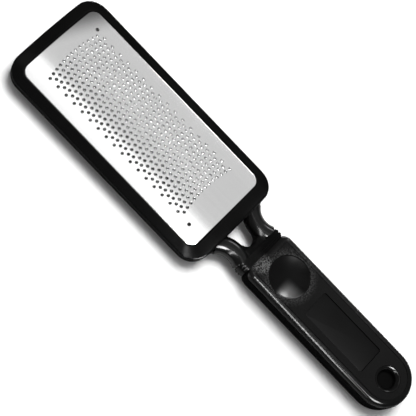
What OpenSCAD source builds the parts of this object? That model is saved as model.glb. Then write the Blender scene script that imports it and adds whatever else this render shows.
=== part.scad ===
// Foot file: a crowned, etched steel rasp plate in a moulded frame with a forked neck,
// a ribbed collar and a soft grip. It lies on its back, the rasp face up, the tip towards +Y.
// The origin is under the middle of its length, on the surface that it lies on.

/* [Overall] */
// Length from the tip of the head to the end of the handle
total_l = 258; // [250:1:280]
// Width of the head over its frame
head_w = 63.2; // [60:0.1:66]
// Share of the length taken by the head frame
head_l_share = 0.528; // [0.5:0.001:0.54]
// Radius of the head frame's corners in plan
head_corner_r = 10.5; // [9:0.1:12]
// Height of the rasp face along the middle line
face_z = 15.2; // [14.6:0.1:16.5]
// Radius of the crown across the head
crown_r = 126; // [110:1:200]
// Height of the joint between the front and the back frame
parting_z = 8; // [7.6:0.1:8.4]

/* [Head frame] */
// Width of the bezel along the sides, seen from the front
bezel_w = 5.3; // [4.6:0.1:6]
// Width of the bezel at the tip
tip_bar_w = 6.5; // [6:0.1:8]
// Width of the bar at the neck
foot_bar_w = 7.9; // [7:0.1:9]
// Height of the bezel's inner lip over the rasp face
lip_rise = 0.2; // [0.1:0.05:0.5]
// Depth of the bezel's shoulder under the crown
shoulder_drop = 0.7; // [0.4:0.1:1.2]
// Rounding of the shoulder
shoulder_r = 1.5; // [1:0.1:1.8]
// Width of the ledge that carries the plate
ledge_w = 1.5; // [1.2:0.1:2]
// Height of the underside of the head
head_bottom_z = 5; // [4.4:0.1:5.6]
// Rounding of the head's lower edge
head_foot_r = 1.2; // [0.8:0.1:1.6]

/* [Rasp plate] */
// Thickness of the steel
sheet_t = 0.6; // [0.5:0.05:0.8]
// Depth of the folded edge
fold_d = 2.4; // [2:0.1:2.8]
// Thickness of the folded edge
fold_t = 0.9; // [0.7:0.1:1.2]
// Radius of the plate's corners
plate_corner_r = 5; // [4:0.1:6]
// Number of rows of teeth
tooth_rows = 34; // [20:1:34]
// Number of teeth in a row
teeth_per_row = 13; // [8:1:14]
// Share of the plate's width from the first tooth of a row to its last
teeth_w_share = 0.65; // [0.5:0.01:0.68]
// Share of the plate's length from the first row to the last
teeth_l_share = 0.772; // [0.6:0.001:0.78]
// Radius of the bow of each row, which bulges towards the tip
row_bow_r = 75; // [60:1:120]
// Share of the pitch by which the rows are set over, in turn to each side
stagger_share = 0.345; // [0.25:0.005:0.375]
// Share of the plate's length by which the field of teeth is set towards the tip
field_share = 0.029; // [0:0.001:0.033]
// Radius of the etched hole in each tooth
tooth_hole_r = 0.55; // [0.4:0.01:0.6]
// Radius of the two location holes
jig_hole_r = 1; // [0.8:0.1:1.2]
// Distance of a location hole from the plate's side
jig_side = 7.7; // [6.5:0.1:8]
// Distance of a location hole from the plate's end
jig_end = 9.6; // [9:0.1:10]

/* [Neck] */
// Distance of the neck's waist inside the handle's side
waist_in = 1.9; // [1.7:0.1:2.5]
// Radius of the hollow outline between the head and the neck
neck_hollow_r = 9.5; // [9:0.1:10.2]
// Depth to which the hollow outline runs into the head
hollow_sink = 0.5; // [0.3:0.1:1]
// Radius of each arm of the fork
arm_r = 4.6; // [4.2:0.1:4.8]
// Distance from the head to the far end of the window
window_l = 12; // [11:0.1:13]
// Half width of the window at the head
window_half_w = 7.4; // [7:0.1:8]
// Half width of the window at its far end
window_foot_half_w = 2.5; // [2.2:0.1:2.8]
// Rounding of the window's corners
window_r = 1; // [0.6:0.1:1.4]
// Distance of the neck's side under the collar inside the handle's side
tang_in = 1.6; // [1.5:0.1:2]
// Height of the neck's front over the joint
neck_rise = 4.4; // [4:0.1:4.8]
// Rounding of the neck's long edges
neck_edge_r = 3.8; // [3:0.1:4]

/* [Collar] */
// Distance from the window to the collar
collar_from_window = 2.9; // [2.4:0.1:3.4]
// Length of the collar along the neck
collar_l = 4.5; // [4.2:0.1:5]
// Thickness of the collar's wall
collar_wall = 0.9; // [0.8:0.1:1.1]
// Height of each of the two ribs
rib_h = 0.4; // [0.3:0.05:0.6]
// Width of each rib
rib_w = 1.3; // [1:0.1:1.5]
// Number of ribs
ribs = 2; // [1:1:3]

/* [Handle] */
// Width of the handle
handle_w = 31.6; // [31:0.1:33]
// Rounding of the handle's corners at the collar, in plan
handle_corner_r = 3.2; // [2:0.1:4]
// Thickness of the handle
handle_t = 16; // [15.6:0.1:16.8]
// Height of the front grip's seat under the top of the grip
grip_shoulder_h = 3.9; // [3.5:0.1:4.1]
// Rounding of the handle's upper edges
grip_top_r = 2.9; // [2.4:0.1:3.1]
// Thickness of the back grip outside the frame
back_shoulder_h = 4.3; // [4:0.1:4.5]
// Rounding of the handle's lower edges
grip_back_r = 3.8; // [3:0.1:3.9]
// Step from the frame's side to the grip's side
grip_step = 0.3; // [0.2:0.05:0.6]
// Rounding of the frame's edge beside the grips
band_edge_r = 0.5; // [0.3:0.1:0.8]
// Thickness of the frame's wall round the grips' tongues
handle_wall = 2.4; // [2:0.1:3]
// Depth of each grip's tongue in the frame
tongue_d = 2.2; // [1.6:0.1:2.6]
// Distance of the groove from the grip's side
groove_in = 3.2; // [3.1:0.1:3.5]
// Width of the groove round the top of the grip
groove_w = 0.6; // [0.4:0.1:0.8]
// Depth of the groove
groove_d = 0.4; // [0.2:0.1:0.6]

/* [Thumb dish and panel] */
// Radius of the thumb dish insert
dish_r = 11.1; // [10.5:0.1:11.2]
// Width of the flat rim round the dish
dish_rim_w = 0.5; // [0.3:0.1:0.8]
// Depth of the thumb dish at its middle
dish_depth = 2.2; // [1.8:0.1:2.4]
// Thickness of the dish insert under its lowest point
dish_floor = 0.8; // [0.6:0.1:1]
// Distance from the top of the grip to the middle of the dish
dish_from_top = 16.9; // [15.5:0.1:18]
// Width of the blank panel
panel_w = 15.8; // [14:0.1:17]
// Distance from the panel to the middle of the hanging hole
panel_to_hang = 12.4; // [11:0.1:16]
// Distance from the top of the grip to the panel
panel_from_top = 35.4; // [34.5:0.1:37]
// Corner radius of the panel
panel_corner_r = 1.2; // [0.8:0.1:2]
// Thickness of the panel
panel_t = 1.2; // [1:0.1:1.5]
// Depth of the panel's face under the grip
panel_sink = 0.5; // [0.3:0.1:0.7]

/* [Hanging hole] */
// Distance from the end of the handle to the middle of the hole
hang_from_end = 14.1; // [13.6:0.1:15]
// Radius of the bore
hang_bore_r = 4.6; // [4.2:0.1:5]
// Radius of the dished rim
hang_rim_r = 6.8; // [6.5:0.1:7.1]
// Width of the flat edge of the rim
hang_edge_w = 0.3; // [0.2:0.1:0.5]
// Depth of the dished rim
hang_dish_d = 1.8; // [1.4:0.1:2.2]
// Thickness of the rim's flange
hang_flange_t = 2.6; // [2.4:0.1:3]
// Wall of the bush
hang_wall = 1; // [0.8:0.1:1.1]

/* [Hidden] */
$fn = 64;

// Overrun of every cut past the face that it cuts
cut = 1;
// Gap between a piece and the pocket that it drops into
fit_gap = 0.1;
// Segments of a corner, of a short side and of a long side of the moulded rings
corner_steps = 10;
short_steps = 6;
long_steps = 8;
// Segments of the shoulder's rounding
round_steps = 4;

head_l = total_l * head_l_share;
tip_y = total_l / 2;
end_y = -total_l / 2;
head_foot_y = tip_y - head_l;
head_mid_y = tip_y - head_l / 2;
plate_top_y = tip_y - tip_bar_w;
plate_foot_y = head_foot_y + foot_bar_w;
plate_mid_y = (plate_top_y + plate_foot_y) / 2;
plate_w = head_w - 2 * bezel_w - 2 * fit_gap;
plate_l = plate_top_y - plate_foot_y - 2 * fit_gap;
ledge_share = 1 + ledge_w / bezel_w;
window_foot_y = head_foot_y - window_l;
collar_y = window_foot_y - collar_from_window;
grip_y = collar_y - collar_l;
neck_half_w = handle_w / 2 - waist_in;
tang_half_w = handle_w / 2 - tang_in;
root_half_w = neck_half_w - handle_corner_r;
neck_top_z = parting_z + neck_rise;
neck_low_z = parting_z - neck_rise;
hollow_x = neck_half_w + neck_hollow_r;
hollow_y = head_foot_y + hollow_sink - neck_hollow_r;
handle_half_w = handle_w / 2;
handle_end_y = end_y + handle_half_w;
grip_half_w = handle_half_w - grip_step;
front_seat_z = handle_t - grip_shoulder_h;
back_seat_z = back_shoulder_h;
pocket_half_w = handle_half_w - handle_wall;
tongue_half_w = pocket_half_w - fit_gap;
dish_y = grip_y - dish_from_top;
dish_seat_z = handle_t - dish_depth - dish_floor;
hang_y = end_y + hang_from_end;
panel_l = grip_y - panel_from_top - hang_y - panel_to_hang;
panel_mid_y = grip_y - panel_from_top - panel_l / 2;
panel_top_z = handle_t - panel_sink;
tooth_pitch = teeth_w_share * plate_w / (teeth_per_row - 1);
row_pitch = teeth_l_share * plate_l / (tooth_rows - 1);
field_shift = field_share * plate_l;
jig_x = plate_w / 2 - jig_side;
bush_r = hang_bore_r + hang_wall;

// Height of the crown over a place beside the middle line
function crown_height(x) = face_z - crown_r + sqrt(crown_r * crown_r - x * x);
// Height over a rim of the centre of a ball that sinks to a depth within a radius
function ball_rise(r, deep) = (r * r - deep * deep) / (2 * deep);
// Height of the centre of a ball through two circles about one upright axis
function ball_mid(r_low, z_low, r_high, z_high) =
  (r_high * r_high - r_low * r_low + z_high * z_high - z_low * z_low) / (2 * (z_high - z_low));

// Points round the head, drawn in by a share of the bezel and a further inset
function ring_corner(k, share, inset) =
  let (side_in = share * bezel_w + inset,
       end_in = share * (k < 2 ? tip_bar_w : foot_bar_w) + inset,
       far = max(share, 0) * (head_corner_r - plate_corner_r) + inset,
       r = head_corner_r - min(far, head_corner_r - inset_r_least),
       side = k == 0 || k == 3 ? 1 : -1,
       end = k < 2 ? 1 : -1)
  [for (i = [0 : corner_steps])
    let (a = 90 * (k + i / corner_steps))
    [side * (head_w / 2 - side_in - r) + r * cos(a),
     head_mid_y + end * (head_l / 2 - end_in - r) + r * sin(a)]];
// The least corner radius inside the ring
inset_r_least = 2;
function ring_points(share, inset) =
  let (c = [for (k = [0 : 3]) ring_corner(k, share, inset)])
  [for (k = [0 : 3])
    let (p = c[k][corner_steps], q = c[(k + 1) % 4][0], n = k % 2 == 0 ? short_steps : long_steps)
    each concat(c[k], [for (i = [1 : n - 1]) p + (q - p) * i / n])];

// A closed ring round the plate. Each station of its section is a share of the bezel, an inset,
// whether its height is measured from the crown, and that height
module moulded_ring(stations) {
  points = [for (s = stations)
    each [for (p = ring_points(s[0], s[1])) [p[0], p[1], s[3] + (s[2] ? crown_height(p[0]) : 0)]]];
  turns = len(stations);
  count = len(points) / turns;
  faces = [for (i = [0 : turns - 1], j = [0 : count - 1])
    let (a = i * count + j,
         b = i * count + (j + 1) % count,
         c = ((i + 1) % turns) * count + (j + 1) % count,
         d = ((i + 1) % turns) * count + j)
    each [[a, c, b], [a, d, c]]];
  polyhedron(points, faces);
}

// A rectangle with round corners about the middle line
module round_rect(w, l, r) {
  square([w - 2 * r, l], center = true);
  square([w, l - 2 * r], center = true);
  for (x = [-1, 1], y = [-1, 1])
    translate([x * (w / 2 - r), y * (l / 2 - r)]) circle(r);
}

// One half of a bar's section: half width, foot, top, and the rounding of its foot and of its top
module half_section(half_w, z0, z1, r0, r1) {
  translate([0, z0]) square([half_w - max(r0, r1), z1 - z0]);
  translate([0, z0 + r0]) square([half_w, z1 - z0 - r0 - r1]);
  if (r0 > 0) intersection() {
    translate([half_w - r0, z0 + r0]) circle(r0);
    translate([0, z0]) square([half_w, r0]);
  }
  if (r1 > 0) intersection() {
    translate([half_w - r1, z1 - r1]) circle(r1);
    translate([0, z1 - r1]) square([half_w, r1]);
  }
}

// A bar along the handle from one place to another
module bar(y_high, y_low, half_w, z0, z1, r0, r1) {
  translate([0, y_low, 0]) mirror([0, 1, 0]) rotate([90, 0, 0]) linear_extrude(y_high - y_low) {
    half_section(half_w, z0, z1, r0, r1);
    mirror([1, 0]) half_section(half_w, z0, z1, r0, r1);
  }
}

// The same bar with a round end, and with its corners rounded in plan at the collar
module handle_bar(y_high, half_w, z0, z1, r0, r1) {
  intersection() {
    bar(y_high + cut, handle_end_y, half_w, z0, z1, r0, r1);
    translate([0, 0, z0 - cut]) linear_extrude(z1 - z0 + 2 * cut) {
      translate([-half_w - cut, handle_end_y - cut])
        square([2 * (half_w + cut), y_high - handle_corner_r - handle_end_y + cut]);
      translate([-half_w + handle_corner_r, y_high]) mirror([0, 1])
        square([2 * (half_w - handle_corner_r), 2 * handle_corner_r]);
      for (side = [-1, 1])
        translate([side * (half_w - handle_corner_r), y_high - handle_corner_r]) circle(handle_corner_r);
    }
  }
  translate([0, handle_end_y, 0]) rotate([0, 0, 180])
    rotate_extrude(angle = 180) half_section(half_w, z0, z1, r0, r1);
}

// The neck's outline, hollowed on both sides
module neck_outline() {
  difference() {
    translate([-hollow_x, hollow_y]) square([2 * hollow_x, head_foot_y + foot_bar_w / 2 - hollow_y]);
    for (side = [-1, 1]) translate([side * hollow_x, hollow_y]) circle(neck_hollow_r);
  }
  translate([-neck_half_w, window_foot_y]) square([2 * neck_half_w, hollow_y - window_foot_y]);
}

// The window between the arms, wide at the head and narrow at the collar
module window_outline() {
  hull() {
    for (side = [-1, 1]) {
      translate([side * (window_half_w - window_r), head_foot_y - window_r]) circle(window_r, $fn = 24);
      translate([side * (window_foot_half_w - window_r), window_foot_y + window_r])
        circle(window_r, $fn = 24);
    }
  }
}

// One half of the neck, towards the front or towards the back of the joint
module neck_half(up) {
  difference() {
    union() {
      translate([0, 0, up > 0 ? parting_z : parting_z - web_share * neck_rise])
        linear_extrude(web_share * neck_rise) {
          neck_outline();
          translate([-root_half_w, grip_y - handle_wall / 2]) square([2 * root_half_w, handle_wall]);
        }
      bar(window_foot_y + window_r, grip_y, tang_half_w, up > 0 ? parting_z : neck_low_z,
          up > 0 ? neck_top_z : parting_z, up > 0 ? 0 : neck_edge_r, up > 0 ? neck_edge_r : 0);
      for (side = [0, 1]) mirror([side, 0, 0]) arm(up);
    }
    translate([0, 0, -cut]) linear_extrude(handle_t + 2 * cut) window_outline();
  }
}
// Share of the neck's height taken by its flat web
web_share = 0.35;
// Directions in which an arm starts at the head and ends at the collar, seen from its own centre
arm_from_angle = 126;
arm_to_angle = 208;
// Segments along an arm and round its half section
arm_steps = 14;
arm_sides = 16;

// Half of one rounded arm, lofted along a curve about the hollow beside it and thickening to the collar
module arm(up) {
  head_rise = up > 0 ? neck_rise : parting_z - head_bottom_z;
  points = [for (i = [0 : arm_steps], j = [0 : arm_sides])
    let (share = i / arm_steps,
         turn = arm_from_angle + (arm_to_angle - arm_from_angle) * share,
         a = 180 * j / arm_sides,
         out = neck_hollow_r + arm_r - arm_r * cos(a),
         rise = head_rise + (neck_rise - head_rise) * share)
    [hollow_x + out * cos(turn), hollow_y + out * sin(turn), parting_z + up * rise * sin(a)]];
  row = arm_sides + 1;
  walls = [for (i = [0 : arm_steps - 1], j = [0 : arm_sides])
    let (a = i * row + j, b = i * row + (j + 1) % row, c = b + row, d = a + row)
    each up > 0 ? [[a, c, b], [a, d, c]] : [[a, b, c], [a, c, d]]];
  first = [for (j = [0 : arm_sides]) j];
  last = [for (j = [0 : arm_sides]) arm_steps * row + arm_sides - j];
  ends = up > 0 ? [first, last] : [[for (j = [0 : arm_sides]) arm_sides - j],
                                   [for (j = [0 : arm_sides]) arm_steps * row + j]];
  polyhedron(points, concat(walls, ends));
}

module hang_hole(r) {
  translate([0, hang_y, -cut]) cylinder(r = r, h = handle_t + 2 * cut);
}

module front_frame() {
  drop = shoulder_drop + shoulder_r;
  $fn = 40;
  color("#1b1b1d") difference() {
    union() {
      moulded_ring(concat(
        [[0, 0, false, parting_z]],
        [for (i = [0 : round_steps])
          let (a = 90 * i / round_steps)
          [0, shoulder_r * (1 - cos(a)), true, shoulder_r * sin(a) - drop]],
        [[1, 0, true, lip_rise],
         [1, 0, true, -fold_d],
         [ledge_share, 0, true, -fold_d],
         [ledge_share, 0, false, parting_z]]));
      neck_half(1);
      handle_bar(grip_y, handle_half_w, parting_z, front_seat_z, 0, band_edge_r);
    }
    handle_bar(grip_y - handle_wall, pocket_half_w, front_seat_z - tongue_d, front_seat_z + cut, 0, 0);
    hang_hole(bush_r + fit_gap);
  }
}

module back_frame() {
  $fn = 40;
  color("#1b1b1d") difference() {
    union() {
      moulded_ring(concat(
        [[ledge_share, 0, false, parting_z],
         [ledge_share, 0, false, head_bottom_z]],
        [for (i = [0 : round_steps])
          let (a = 90 * i / round_steps)
          [0, head_foot_r * (1 - sin(a)), false, head_bottom_z + head_foot_r * (1 - cos(a))]],
        [[0, 0, false, parting_z]]));
      neck_half(-1);
      handle_bar(grip_y, handle_half_w, back_seat_z, parting_z, band_edge_r, 0);
    }
    handle_bar(grip_y - handle_wall, pocket_half_w, back_seat_z - cut, back_seat_z + tongue_d, 0, 0);
    hang_hole(bush_r + fit_gap);
  }
}

// Places of the teeth, in bowed rows that are set over in turn
module at_teeth() {
  for (i = [0 : tooth_rows - 1], k = [0 : teeth_per_row - 1]) {
    x = tooth_pitch * (k - (teeth_per_row - 1) / 2 + stagger_share * (i % 2 == 0 ? 1 : -1));
    y = row_pitch * (i - (tooth_rows - 1) / 2) - x * x / (2 * row_bow_r) + field_shift;
    translate([x, y]) children();
  }
}

// A layer that follows the crown, from a height over it down to a depth under it
module crown_layer(up, down) {
  translate([0, plate_mid_y + plate_l, face_z - crown_r]) rotate([90, 0, 0])
    linear_extrude(2 * plate_l) intersection() {
      difference() {
        circle(crown_r + up, $fn = 400);
        circle(crown_r - down, $fn = 400);
      }
      translate([-plate_w, 0]) square([2 * plate_w, crown_r + up + cut]);
    }
}

module upright(h) {
  translate([0, plate_mid_y, 0]) linear_extrude(h) children();
}

module rasp_plate() {
  tall = face_z + cut;
  color("#d9d9d9") {
    difference() {
      intersection() {
        upright(tall) difference() {
          round_rect(plate_w, plate_l, plate_corner_r);
          at_teeth() circle(tooth_hole_r, $fn = 16);
          for (end = [-1, 1])
            translate([end * jig_x, end * (plate_l / 2 - jig_end)]) circle(jig_hole_r);
        }
        crown_layer(0, fold_d);
      }
      intersection() {
        upright(tall) round_rect(plate_w - 2 * fold_t, plate_l - 2 * fold_t, plate_corner_r - fold_t);
        crown_layer(-sheet_t, fold_d + cut);
      }
    }
  }
}

module neck_collar() {
  color("#2a2a2c") {
    difference() {
      union() {
        collar_bar(collar_y, collar_l, 0);
        for (i = [0 : ribs - 1])
          collar_bar(collar_y - collar_l * (i + 1) / (ribs + 1) + rib_w / 2, rib_w, rib_h);
      }
      bar(collar_y + cut, grip_y - cut, tang_half_w + fit_gap, neck_low_z - fit_gap,
          neck_top_z + fit_gap, neck_edge_r, neck_edge_r);
    }
  }
}

module collar_bar(y, l, out) {
  wall = collar_wall + out;
  bar(y, y - l, tang_half_w + wall, neck_low_z - wall, neck_top_z + wall, neck_edge_r + wall,
      neck_edge_r + wall);
}

module front_grip() {
  color("#2b2b2d") difference() {
    union() {
      handle_bar(grip_y, grip_half_w, front_seat_z, handle_t, 0, grip_top_r);
      handle_bar(grip_y - handle_wall - fit_gap, tongue_half_w, front_seat_z - tongue_d + fit_gap,
                 front_seat_z, 0, 0);
    }
    grip_groove();
    translate([0, dish_y, dish_seat_z]) cylinder(r = dish_r + fit_gap, h = handle_t);
    translate([0, panel_mid_y, panel_top_z - panel_t]) linear_extrude(handle_t)
      round_rect(panel_w + 2 * fit_gap, panel_l + 2 * fit_gap, panel_corner_r + fit_gap);
    hang_hole(bush_r + fit_gap);
    translate([0, hang_y, handle_t - hang_flange_t]) cylinder(r = hang_rim_r + fit_gap, h = handle_t);
  }
}

// A fine groove round the flat top of the grip
module grip_groove() {
  out = grip_half_w - groove_in;
  difference() {
    handle_bar(grip_y - groove_in, out, handle_t - groove_d, handle_t + cut, 0, 0);
    handle_bar(grip_y - groove_in - groove_w, out - groove_w, handle_t - 2 * groove_d,
               handle_t + 2 * cut, 0, 0);
  }
}

module back_grip() {
  color("#2b2b2d") difference() {
    union() {
      handle_bar(grip_y, grip_half_w, 0, back_seat_z, grip_back_r, 0);
      handle_bar(grip_y - handle_wall - fit_gap, tongue_half_w, back_seat_z,
                 back_seat_z + tongue_d - fit_gap, 0, 0);
    }
    hang_hole(bush_r + fit_gap);
  }
}

module thumb_dish() {
  open_r = dish_r - dish_rim_w;
  rise = ball_rise(open_r, dish_depth);
  color("#3a3a3c") difference() {
    translate([0, dish_y, dish_seat_z]) cylinder(r = dish_r, h = handle_t - dish_seat_z);
    translate([0, dish_y, handle_t + rise]) sphere(rise + dish_depth, $fn = 96);
  }
}

module blank_panel() {
  color("#242426") translate([0, panel_mid_y, panel_top_z - panel_t])
    linear_extrude(panel_t) round_rect(panel_w, panel_l, panel_corner_r);
}

module hang_bush() {
  open_r = hang_rim_r - hang_edge_w;
  low_z = handle_t - hang_dish_d;
  mid_z = ball_mid(hang_bore_r, low_z, open_r, handle_t);
  ball_r = sqrt(open_r * open_r + (mid_z - handle_t) * (mid_z - handle_t));
  color("#1b1b1d") difference() {
    translate([0, hang_y, 0]) {
      cylinder(r = bush_r, h = handle_t);
      translate([0, 0, handle_t - hang_flange_t]) cylinder(r = hang_rim_r, h = hang_flange_t);
    }
    translate([0, hang_y, mid_z]) sphere(ball_r, $fn = 96);
    hang_hole(hang_bore_r);
  }
}

front_frame();
back_frame();
rasp_plate();
neck_collar();
front_grip();
back_grip();
thumb_dish();
blank_panel();
hang_bush();
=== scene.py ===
import math

import bmesh
import bpy
from bpy.props import FloatProperty, FloatVectorProperty, IntProperty, PointerProperty
from mathutils import Matrix, Vector


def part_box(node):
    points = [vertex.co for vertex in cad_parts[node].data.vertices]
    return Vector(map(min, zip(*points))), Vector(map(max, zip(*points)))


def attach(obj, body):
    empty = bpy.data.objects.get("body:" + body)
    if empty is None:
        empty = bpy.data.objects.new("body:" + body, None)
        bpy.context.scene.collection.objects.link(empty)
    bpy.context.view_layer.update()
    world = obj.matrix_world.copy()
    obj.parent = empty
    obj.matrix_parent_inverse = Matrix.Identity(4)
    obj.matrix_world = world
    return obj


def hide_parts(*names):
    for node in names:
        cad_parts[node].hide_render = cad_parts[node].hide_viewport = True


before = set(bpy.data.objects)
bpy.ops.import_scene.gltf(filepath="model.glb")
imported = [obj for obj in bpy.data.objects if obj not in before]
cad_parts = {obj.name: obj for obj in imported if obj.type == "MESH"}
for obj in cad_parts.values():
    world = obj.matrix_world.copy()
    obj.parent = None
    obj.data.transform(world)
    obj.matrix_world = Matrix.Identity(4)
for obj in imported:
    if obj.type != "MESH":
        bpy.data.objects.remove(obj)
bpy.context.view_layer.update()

bl_info = {
    "name": "Foot file",
    "version": (1, 0, 0),
    "blender": (4, 5, 0),
    "location": "View3D > Sidebar > Foot file",
    "description": "Dresses the foot file: rasp plate, frame, collar, grip, dish, panel and hanging hole",
    "category": "Object",
}

MM = 0.001
MIDDLE = (0, 0, 0)


def low(node, axis):
    """The lowest place of a solid along an axis, in metres."""
    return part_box(node)[0][axis]


def high(node, axis):
    """The highest place of a solid along an axis, in metres."""
    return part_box(node)[1][axis]


# Sizes and colours
def length(name, text, default, least=0.0):
    """A size in metres."""
    return FloatProperty(name=name, description=text, default=default, min=least, max=0.5,
                         precision=5, unit="LENGTH")


def place(name, text, default):
    """A place along an axis, which may lie below zero."""
    return length(name, text, default, -0.5)


def share(name, text, default, least, most):
    """A share of another size."""
    return FloatProperty(name=name, description=text, default=default, min=least, max=most,
                         subtype="FACTOR")


def count(name, text, default, most):
    """A number of like pieces."""
    return IntProperty(name=name, description=text, default=default, min=2, max=most)


def tone(name, text, default):
    """A neutral colour of that lightness."""
    return FloatVectorProperty(name=name, description=text, default=(default,) * 3, min=0.0, max=1.0,
                               size=3, subtype="COLOR")


class FootFileHead(bpy.types.PropertyGroup):
    """Sizes of the head and the neck"""

    width: length("Width", "Width of the head over its frame", high("front_frame", 0) * 2)
    tip: place("Tip", "Place of the tip along the file", high("front_frame", 1))
    foot: place("Foot", "Place of the head's lower edge along the file", -0.0072)
    corner: length("Corner", "Radius of the head's corners", 0.0105)
    bezel: length("Bezel", "Width of the bezel along the sides", 0.0053)
    tip_bar: length("Tip bar", "Width of the bezel at the tip", 0.0065)
    foot_bar: length("Foot bar", "Width of the bar at the neck", 0.0079)
    ledge: length("Ledge", "Width of the ledge under the plate", 0.0015)
    shoulder: length("Shoulder", "Rounding of the bezel's shoulder", 0.0015)
    shoulder_drop: length("Shoulder drop", "Depth of the shoulder under the crown", 0.0007)
    back_shoulder: length("Back shoulder", "Rounding of the bezel's back edge", 0.0012)
    bottom: length("Underside", "Height of the head's underside", 0.005)
    parting: length("Parting", "Height of the joint between the halves", low("front_frame", 2))
    waist: length("Waist", "Half width of the neck's waist", 0.0139)
    hollow: length("Hollow", "Radius of the hollow beside the neck", 0.0095)
    arm: length("Arm", "Radius of each arm", 0.0046)
    rise: length("Rise", "Height of the arms over the joint", 0.0044)
    proud: length("Proud", "How far the arms stand out of the neck", 0.0005)
    slim: share("Slimness", "Share of its thickness that the neck keeps between the arms", 0.8, 0.5, 1.0)
    voxel: length("Skin", "Fineness of the moulded skin", 0.0004)


class FootFilePlate(bpy.types.PropertyGroup):
    """Sizes of the rasp plate"""

    face: length("Face", "Height of the rasp face on the middle line", 0.0152)
    crown: length("Crown", "Radius of the crown across the plate", 0.126)
    sheet: length("Sheet", "Thickness of the steel", 0.0006)
    fold: length("Fold", "Depth of the folded edge", 0.0024)
    bend: length("Bend", "Rounding of the fold", 0.00035)
    gap: length("Gap", "Gap between the plate and the bezel", 0.0001)
    corner: length("Corner", "Radius of the plate's corners", 0.005)
    rows: count("Rows", "Rows of teeth", 34, 40)
    row_teeth: count("Teeth", "Teeth in a row", 13, 16)
    rows_share: share("Rows' share", "Share of the plate's length under the rows", 0.772, 0.5, 0.8)
    teeth_share: share("Teeth's share", "Share of the plate's width under a row", 0.65, 0.5, 0.7)
    shift_share: share("Shift", "Share of the length by which the rows are set over", 0.029, 0.0, 0.04)
    stagger: share("Stagger", "Share of the spacing by which rows alternate", 0.345, 0.2, 0.4)
    bow: length("Bow", "Radius of the bow of a row", 0.075)
    hole: length("Hole", "Radius of the hole in a tooth", 0.00055)
    lip: length("Lip", "Height of a tooth's lip", 0.0003)
    jig_hole: length("Location hole", "Radius of the location holes", 0.001)
    jig_side: length("From the side", "From a location hole to the side", 0.0077)
    jig_end: length("From the end", "From a location hole to the end", 0.0096)


class FootFileGrip(bpy.types.PropertyGroup):
    """Sizes of the handle and what is let into it"""

    half: length("Half width", "Half width of the grips", high("front_grip", 0))
    band: length("Band", "Half width of the hard band", 0.0158)
    top: place("Top", "Where the grips begin", high("front_grip", 1))
    end: place("End", "Where the handle ends", low("front_frame", 1))
    front_seat: length("Front seat", "Height of the front grip's edge", 0.0121)
    back_seat: length("Back seat", "Height of the back grip's edge", 0.0043)
    thick: length("Thickness", "Thickness of the handle", high("front_grip", 2))
    corner: length("Corner", "Rounding in plan at the collar", 0.0032)
    front_round: length("Front rounding", "Rounding of the front edges", 0.0029)
    back_round: length("Back rounding", "Rounding of the back edges", 0.0038)
    groove: length("Groove", "Width of the groove round the top", 0.0006)
    play: length("Play", "Gap round each insert", 0.0001)
    collar_wall: length("Collar wall", "Height of the collar's ribs", 0.0004)
    collar_corner: length("Collar corner", "Rounding of the collar's corners", 0.0047)
    dish_depth: length("Dish", "Depth of the thumb dish", 0.0022)
    panel_corner: length("Panel corner", "Radius of the panel's corners", 0.0012)
    hole: length("Hanging hole", "Radius of the hanging hole", 0.0046)
    shaft: length("Bush", "Radius of the bush inside the handle", 0.0056)
    rim_depth: length("Bush rim", "Depth of the bush's rim", 0.0026)


class FootFileTones(bpy.types.PropertyGroup):
    """Tones of the finishes"""

    plastic_dark: tone("Moulding, dark", "Dark tone of the hard moulding", 0.002)
    plastic: tone("Moulding", "Light tone of the hard moulding", 0.004)
    dish_dark: tone("Dish, dark", "Dark tone of the thumb dish", 0.003)
    dish: tone("Dish", "Light tone of the thumb dish", 0.006)
    rubber_dark: tone("Grip, dark", "Dark tone of the soft grip", 0.003)
    rubber: tone("Grip", "Light tone of the soft grip", 0.008)
    # Tone of the painted sheen that lightens the grip round the thumb dish
    wear_and_sheen: tone("Worn grip", "Tone of the grip where use has worn it", 0.09)
    steel_dark: tone("Steel, dark", "Dark tone of the steel's grain", 0.74)
    steel: tone("Steel", "Light tone of the steel", 0.84)
    # Tone of the painted shade on the steel towards the tip's right side
    shaded_steel: tone("Dull steel", "Tone of the steel towards the tip's right side", 0.16)
    # Painted light and shade of the teeth: the left tones are the shaded ones, the right tones the lit
    # ones, and the foot is darker than the rim
    tooth_foot_dark: tone("Tooth's foot, left", "Tone of a tooth's foot on the left", 0.02)
    tooth_foot: tone("Tooth's foot, right", "Tone of a tooth's foot on the right", 0.45)
    tooth_rim_dark: tone("Tooth's rim, left", "Tone of a tooth's rim on the left", 0.15)
    tooth_rim: tone("Tooth's rim, right", "Tone of a tooth's rim on the right", 0.6)
    floor: tone("Floor", "Tone of the floor", 0.9)


class FootFile(bpy.types.PropertyGroup):
    """The foot file's sizes and colours"""

    head: PointerProperty(type=FootFileHead)
    plate: PointerProperty(type=FootFilePlate)
    grip: PointerProperty(type=FootFileGrip)
    tones: PointerProperty(type=FootFileTones)


def sizes():
    """The sizes and colours that the sidebar shows."""
    return bpy.context.scene.foot_file


# Finishes
MIX_A, MIX_B, MIX_RESULT = 6, 7, 2  # a Mix node's colour sockets, whose names it uses more than once


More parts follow.
